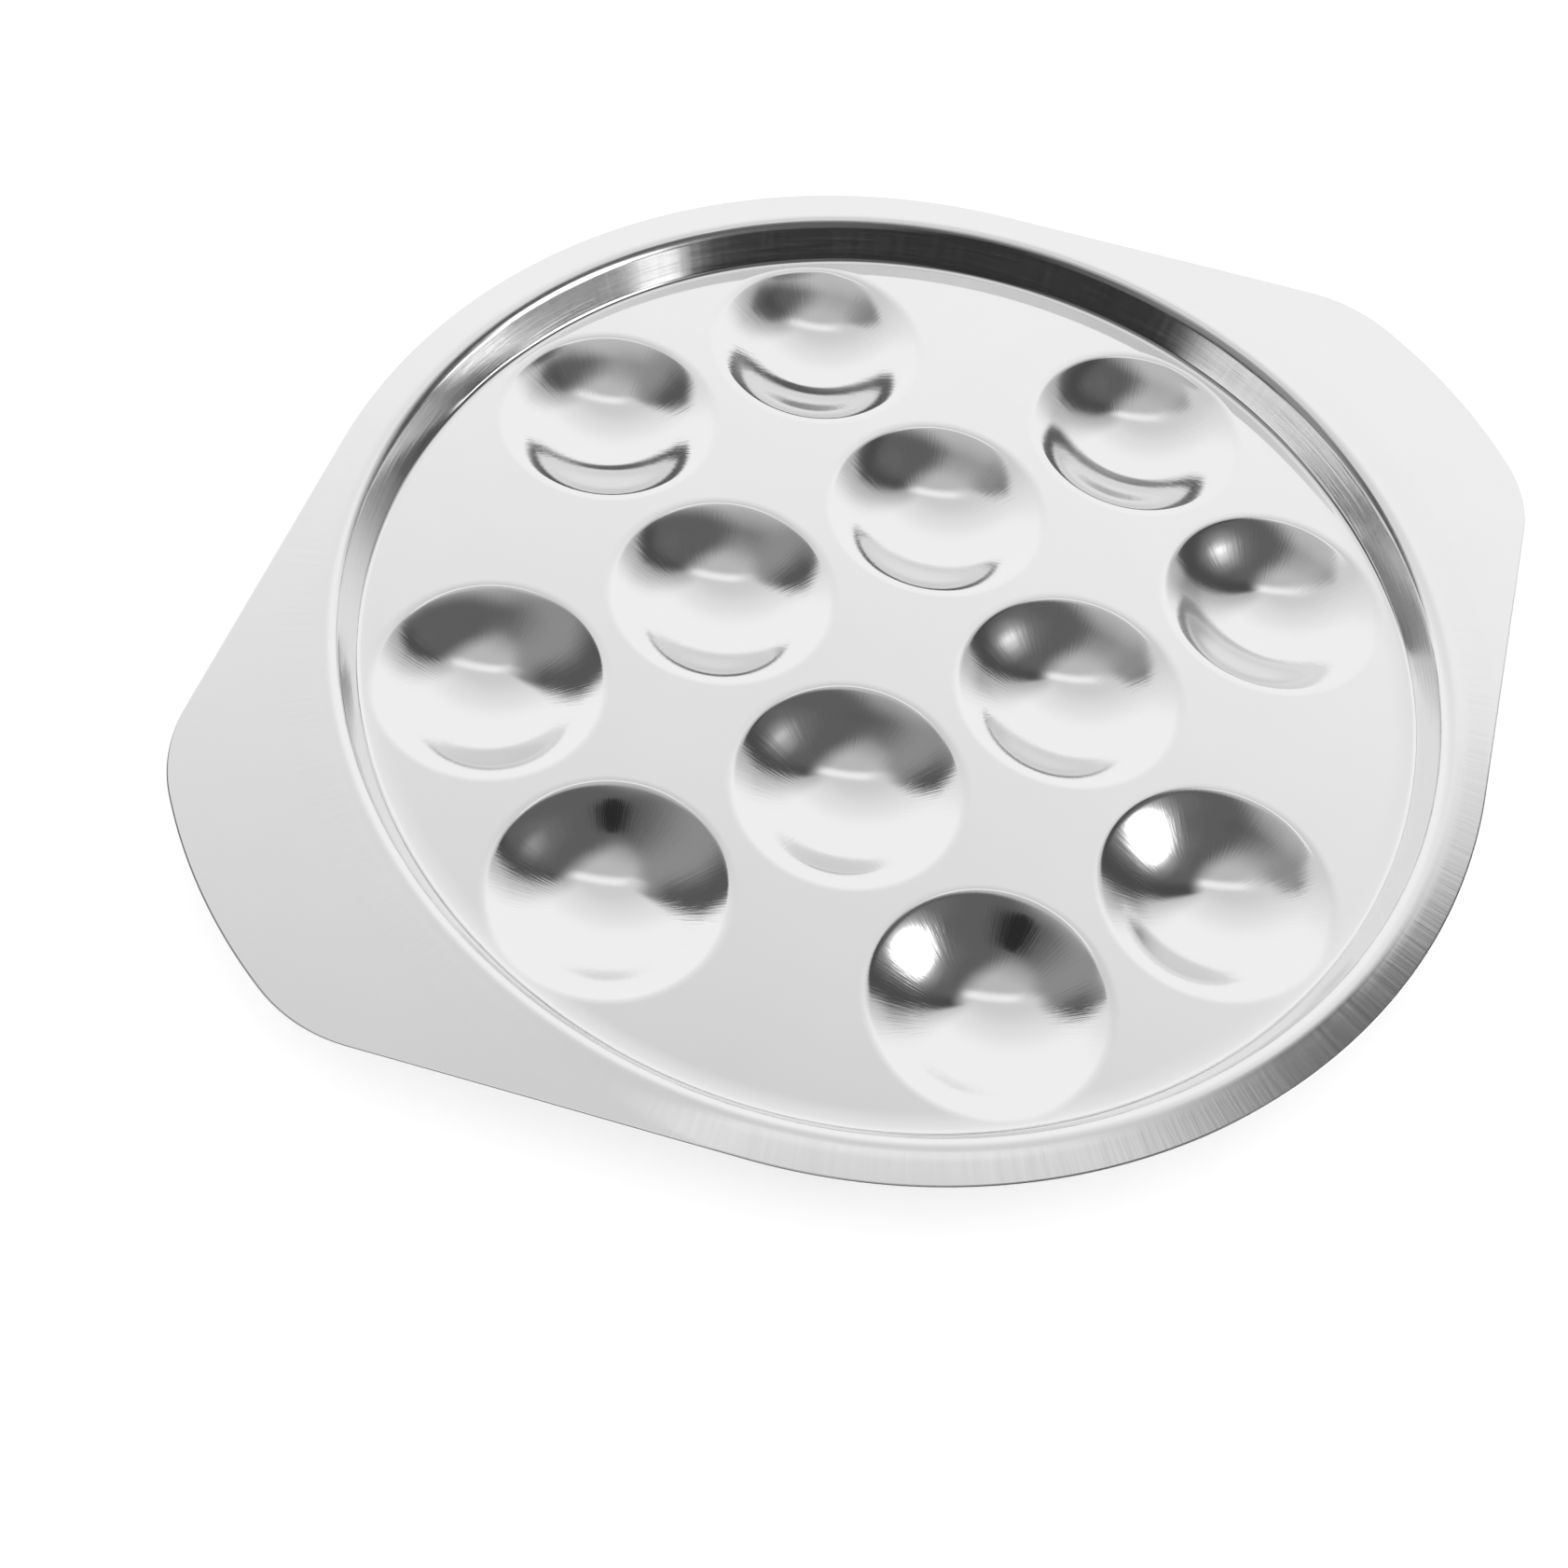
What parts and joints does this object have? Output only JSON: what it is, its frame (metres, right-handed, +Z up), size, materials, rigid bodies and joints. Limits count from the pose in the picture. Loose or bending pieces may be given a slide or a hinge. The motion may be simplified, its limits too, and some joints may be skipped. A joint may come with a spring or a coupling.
{
  "type": "escargot plate",
  "caption": "Round pressed metal plate with a raised flat rim, two opposite ear handles and a sunken floor of round shallow bowls.",
  "frame": {"origin": "middle of the plate, at the height of the surface that it stands on", "axes": "+X through the middle of one ear handle, +Z up out of the bowls"},
  "size_m": [0.242, 0.2, 0.0145],
  "materials": {
    "polished_steel": "polished stainless steel with faint satin streaks"
  },
  "bodies": {
    "root": {"escargot_plate": "polished_steel"}
  },
  "joints": []
}
